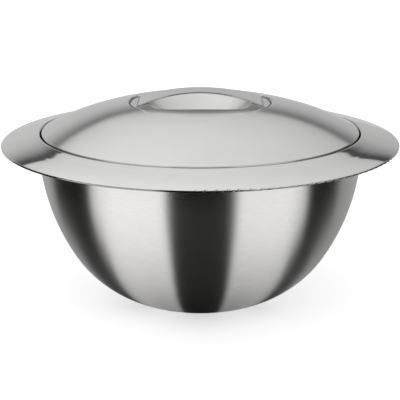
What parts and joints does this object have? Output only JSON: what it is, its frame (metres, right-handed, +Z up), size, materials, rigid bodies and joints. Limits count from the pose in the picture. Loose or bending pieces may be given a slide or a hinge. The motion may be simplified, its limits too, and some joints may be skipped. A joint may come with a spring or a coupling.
{
  "type": "insulated bowl with lid",
  "caption": "Double-walled stainless serving bowl with a wide hemmed brim and a lift-off domed lid with a recessed strap handle",
  "frame": {"origin": "centre of the base, on the surface that the bowl stands on", "axes": "+Z up through the centre of bowl and lid, +X along the strap of the lid's handle, -Y towards the viewer of the picture"},
  "size_m": [0.3, 0.3, 0.1626],
  "materials": {
    "satin_steel": "satin",
    "polished_steel": "polished",
    "insulation_foam": "matte",
    "seal_silicone": "matte"
  },
  "bodies": {
    "bowl": {"bowl_outer_shell": "satin_steel", "bowl_inner_shell": "polished_steel", "bowl_insulation": "insulation_foam", "base_plate": "satin_steel"},
    "lid": {"lid_dome": "polished_steel", "lid_liner": "satin_steel", "lid_seal_ring": "seal_silicone", "lid_insulation": "insulation_foam", "handle_dish": "polished_steel", "handle_strap": "polished_steel"}
  },
  "joints": [
    {"name": "lid_lift", "type": "slide", "parent": "bowl", "child": "lid", "axis": [0, 0, 1], "range_m": [0, 0.2]}
  ]
}
